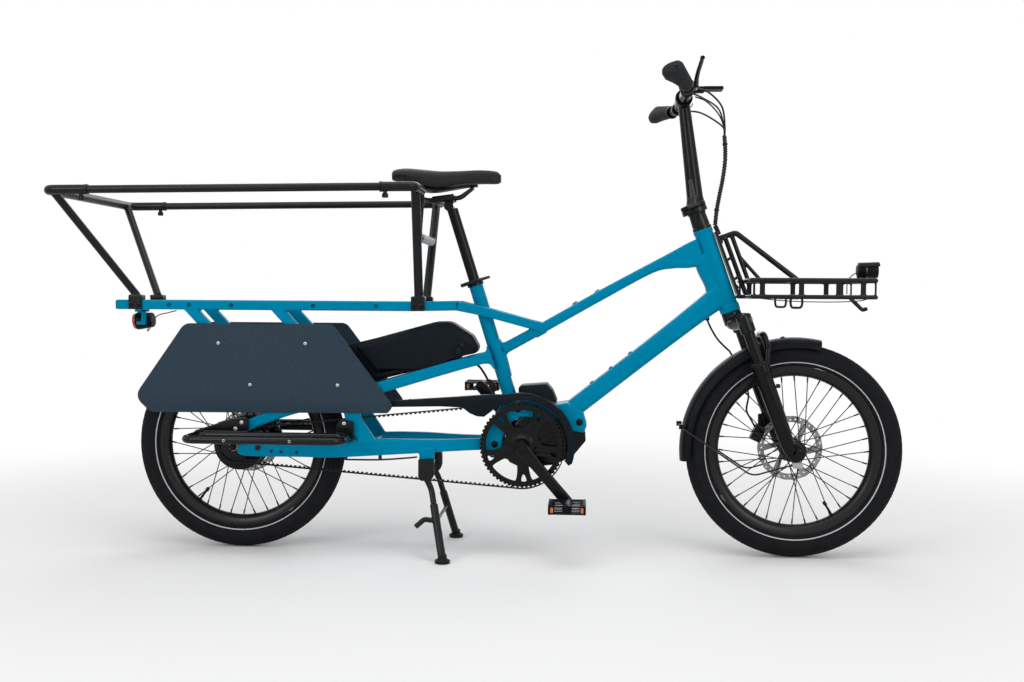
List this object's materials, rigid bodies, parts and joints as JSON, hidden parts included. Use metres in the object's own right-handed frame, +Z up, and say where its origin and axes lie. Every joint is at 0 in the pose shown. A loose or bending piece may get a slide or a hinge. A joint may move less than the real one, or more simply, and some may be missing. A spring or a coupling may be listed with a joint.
{
  "type": "electric cargo bike",
  "caption": "Long-tail electric cargo bike with small fat-tyred wheels, a rear deck inside a rail cage, side boards, footrests, belt drive, folding handlebar post and front carrier.",
  "frame": {"origin": "on the ground, half way between the rear rail and the front of the front tyre, in the bike's middle plane", "axes": "+X forward to the front wheel, +Y to the rider's left, +Z up"},
  "size_m": [2.0174, 0.6194, 1.1577],
  "materials": {
    "teal_paint": "satin paint with a fine metallic flake",
    "black_paint": "satin",
    "black_plastic": "fine matt grain",
    "black_anodised": "satin black anodised",
    "steel": "turned or brushed",
    "tyre_rubber": "matt",
    "soft_rubber": "matt",
    "textured_board": "dark blue-grey board with a fine texture",
    "saddle_cover": "smooth saddle cover"
  },
  "bodies": {
    "frame": {"front_frame": "teal_paint", "deck_frame": "teal_paint", "rear_stays": "teal_paint", "motor_housing": "black_anodised", "motor_cover": "black_plastic", "seat_collar": "black_anodised", "side_panel_right": "textured_board", "side_panel_left": "textured_board", "footrest_right": "black_paint", "footrest_left": "black_paint", "battery": "black_plastic", "battery_rail": "black_plastic", "rear_rail_hoop": "black_paint", "front_rail_hoop": "black_paint", "belt_guard": "black_plastic", "stand_bracket": "black_paint", "front_carrier": "black_paint", "headlight": "black_plastic", "rear_light": "black_plastic", "rear_mudguard": "black_plastic", "rear_caliper": "black_anodised", "belt": "soft_rubber"},
    "steering": {"fork_upper": "black_paint", "stem_base": "black_anodised", "brake_hose_upper": "soft_rubber"},
    "fork_slider": {"fork_lower": "black_paint", "front_mudguard": "black_plastic", "front_caliper": "black_anodised"},
    "front_wheel": {"front_tyre": "tyre_rubber", "front_rim": "black_paint", "front_hub": "black_anodised", "front_rotor": "steel"},
    "cockpit": {"stem_post": "black_anodised", "handlebar": "black_anodised", "grip_right": "soft_rubber", "grip_left": "soft_rubber", "lever_body_right": "black_anodised", "lever_body_left": "black_anodised", "display": "black_plastic", "cable_bundle": "soft_rubber"},
    "stem_latch": {"stem_latch": "black_anodised"},
    "twist_shifter": {"twist_shifter": "soft_rubber"},
    "brake_lever_right": {"brake_lever_right": "black_anodised"},
    "brake_lever_left": {"brake_lever_left": "black_anodised"},
    "seat": {"seat_post": "black_anodised", "saddle": "saddle_cover", "saddle_rails": "black_anodised"},
    "seat_lever": {"seat_lever": "black_anodised"},
    "crank": {"chainring": "black_anodised", "crank_arm_right": "black_anodised", "crank_arm_left": "black_anodised"},
    "pedal_right": {"pedal_right": "black_plastic"},
    "pedal_left": {"pedal_left": "black_plastic"},
    "rear_sprocket": {"rear_sprocket": "steel"},
    "rear_wheel": {"rear_tyre": "tyre_rubber", "rear_rim": "black_paint", "rear_hub": "black_anodised", "rear_rotor": "steel"},
    "stand": {"stand_legs": "black_paint"},
    "power_button": {"power_button": "black_anodised"}
  },
  "joints": [
    {"name": "steering", "type": "hinge", "parent": "frame", "child": "steering", "pos_m": [0.59325, 0, 0.5965], "axis": [-0.3338, 0, 0.9426], "range_deg": [-50, 50]},
    {"name": "fork_travel", "type": "slide", "parent": "steering", "child": "fork_slider", "axis": [-0.3338, 0, 0.9426], "range_m": [0, 0.04], "stiffness_N_per_m": 10000, "springref_m": -0.03},
    {"name": "front_wheel_spin", "type": "hinge", "parent": "fork_slider", "child": "front_wheel", "pos_m": [0.74875, 0, 0.26], "axis": [0, 1, 0], "continuous": true},
    {"name": "stem_fold", "type": "hinge", "parent": "steering", "child": "cockpit", "pos_m": [0.50463, 0.0285, 0.84676], "axis": [-0.9426, 0, -0.3338], "range_deg": [0, 90]},
    {"name": "stem_latch_swing", "type": "hinge", "parent": "steering", "child": "stem_latch", "pos_m": [0.49695, -0.0345, 0.85042], "axis": [0.9426, 0, 0.3338], "range_deg": [0, 100]},
    {"name": "shifter_twist", "type": "hinge", "parent": "cockpit", "child": "twist_shifter", "pos_m": [0.46925, -0.15, 1.106], "axis": [-0.16, -0.9844, 0.0738], "range_deg": [0, 150]},
    {"name": "brake_lever_right_pull", "type": "hinge", "parent": "cockpit", "child": "brake_lever_right", "pos_m": [0.48825, -0.138, 1.122], "axis": [0.5549, 0, -0.8319], "range_deg": [0, 11], "stiffness_Nm_per_rad": 4, "springref_deg": -11.46},
    {"name": "brake_lever_left_pull", "type": "hinge", "parent": "cockpit", "child": "brake_lever_left", "pos_m": [0.49281, 0.138, 1.0987], "axis": [0.4428, 0, 0.8966], "range_deg": [0, 11], "stiffness_Nm_per_rad": 4, "springref_deg": -11.46},
    {"name": "seat_height", "type": "slide", "parent": "frame", "child": "seat", "axis": [-0.3, 0, 0.9539], "range_m": [0, 0.1]},
    {"name": "seat_lever_swing", "type": "hinge", "parent": "frame", "child": "seat_lever", "pos_m": [-0.06034, -0.0135, 0.65667], "axis": [0.3, 0, -0.9539], "range_deg": [0, 120]},
    {"name": "crank_spin", "type": "hinge", "parent": "frame", "child": "crank", "pos_m": [0.08975, 0, 0.269], "axis": [0, 1, 0], "continuous": true},
    {"name": "pedal_right_spin", "type": "hinge", "parent": "crank", "child": "pedal_right", "pos_m": [0.20191, -0.147, 0.1386], "axis": [0, 1, 0], "continuous": true},
    {"name": "pedal_left_spin", "type": "hinge", "parent": "crank", "child": "pedal_left", "pos_m": [-0.02241, 0.147, 0.3994], "axis": [0, 1, 0], "continuous": true},
    {"name": "sprocket_spin", "type": "hinge", "parent": "frame", "child": "rear_sprocket", "pos_m": [-0.61325, 0, 0.26], "axis": [0, 1, 0], "continuous": true},
    {"name": "rear_wheel_spin", "type": "hinge", "parent": "frame", "child": "rear_wheel", "pos_m": [-0.61325, 0, 0.26], "axis": [0, 1, 0], "continuous": true},
    {"name": "stand_swing", "type": "hinge", "parent": "frame", "child": "stand", "pos_m": [-0.14525, 0, 0.199], "axis": [0, 1, 0], "range_deg": [0, 100]},
    {"name": "power_button_press", "type": "slide", "parent": "frame", "child": "power_button", "axis": [0, 1, 0], "range_m": [0, 0.0015], "stiffness_N_per_m": 800, "springref_m": -0.001}
  ],
  "couplings": [
    {"joint": "sprocket_spin", "follows": "crank_spin", "ratio": 2.6364}
  ]
}
